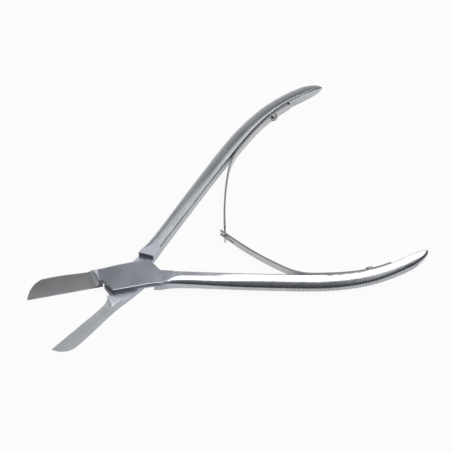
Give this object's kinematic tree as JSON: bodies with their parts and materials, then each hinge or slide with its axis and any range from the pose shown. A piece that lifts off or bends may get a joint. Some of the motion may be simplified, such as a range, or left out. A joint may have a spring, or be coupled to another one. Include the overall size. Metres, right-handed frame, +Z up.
{
  "type": "bone cutting forceps",
  "caption": "Straight bone cutting forceps with crossed halves on a lap joint, bevelled cutting jaws, bowed handles and interlocking double leaf springs",
  "frame": {"origin": "on the pivot axis, in the plane of the flat underside that the tool lies on", "axes": "+X along the tool from the pivot towards the handles, +Z up along the pivot axis, from the flat underside to the bevelled side of the jaws; +Y towards the right handle"},
  "size_m": [0.1808, 0.1124, 0.0082],
  "materials": {
    "satin_steel": "fine satin-ground stainless steel, brighter along the edges",
    "rivet_steel": "stainless steel, peened flush and ground over with the joint's faces",
    "spring_steel": "hardened stainless spring strip with a lengthwise satin grain",
    "screw_steel": "turned stainless steel, lightly polished"
  },
  "bodies": {
    "left_half": {"left_handle_and_jaw": "satin_steel", "pivot_rivet": "rivet_steel", "left_spring_screw": "screw_steel"},
    "right_half": {"right_handle_and_jaw": "satin_steel", "right_spring_screw": "screw_steel"},
    "fork_leaf": {"fork_leaf_spring": "spring_steel"},
    "tongue_leaf": {"tongue_leaf_spring": "spring_steel"}
  },
  "joints": [
    {"name": "main_pivot", "type": "hinge", "parent": "left_half", "child": "right_half", "pos_m": [0, 0, 0], "axis": [0, 0, 1], "range_deg": [-31.6, 0], "stiffness_Nm_per_rad": 1.2},
    {"name": "fork_flex", "type": "hinge", "parent": "left_half", "child": "fork_leaf", "pos_m": [0.07036, -0.03495, 0.0041], "axis": [0, 0, 1], "range_deg": [0, 22.13], "deforming": ["fork_leaf_spring"]},
    {"name": "tongue_flex", "type": "hinge", "parent": "right_half", "child": "tongue_leaf", "pos_m": [0.07036, 0.03495, 0.0041], "axis": [0, 0, 1], "range_deg": [-22.13, 0], "deforming": ["tongue_leaf_spring"]}
  ],
  "couplings": [
    {"joint": "fork_flex", "follows": "main_pivot", "ratio": -0.7},
    {"joint": "tongue_flex", "follows": "main_pivot", "ratio": 0.7}
  ]
}
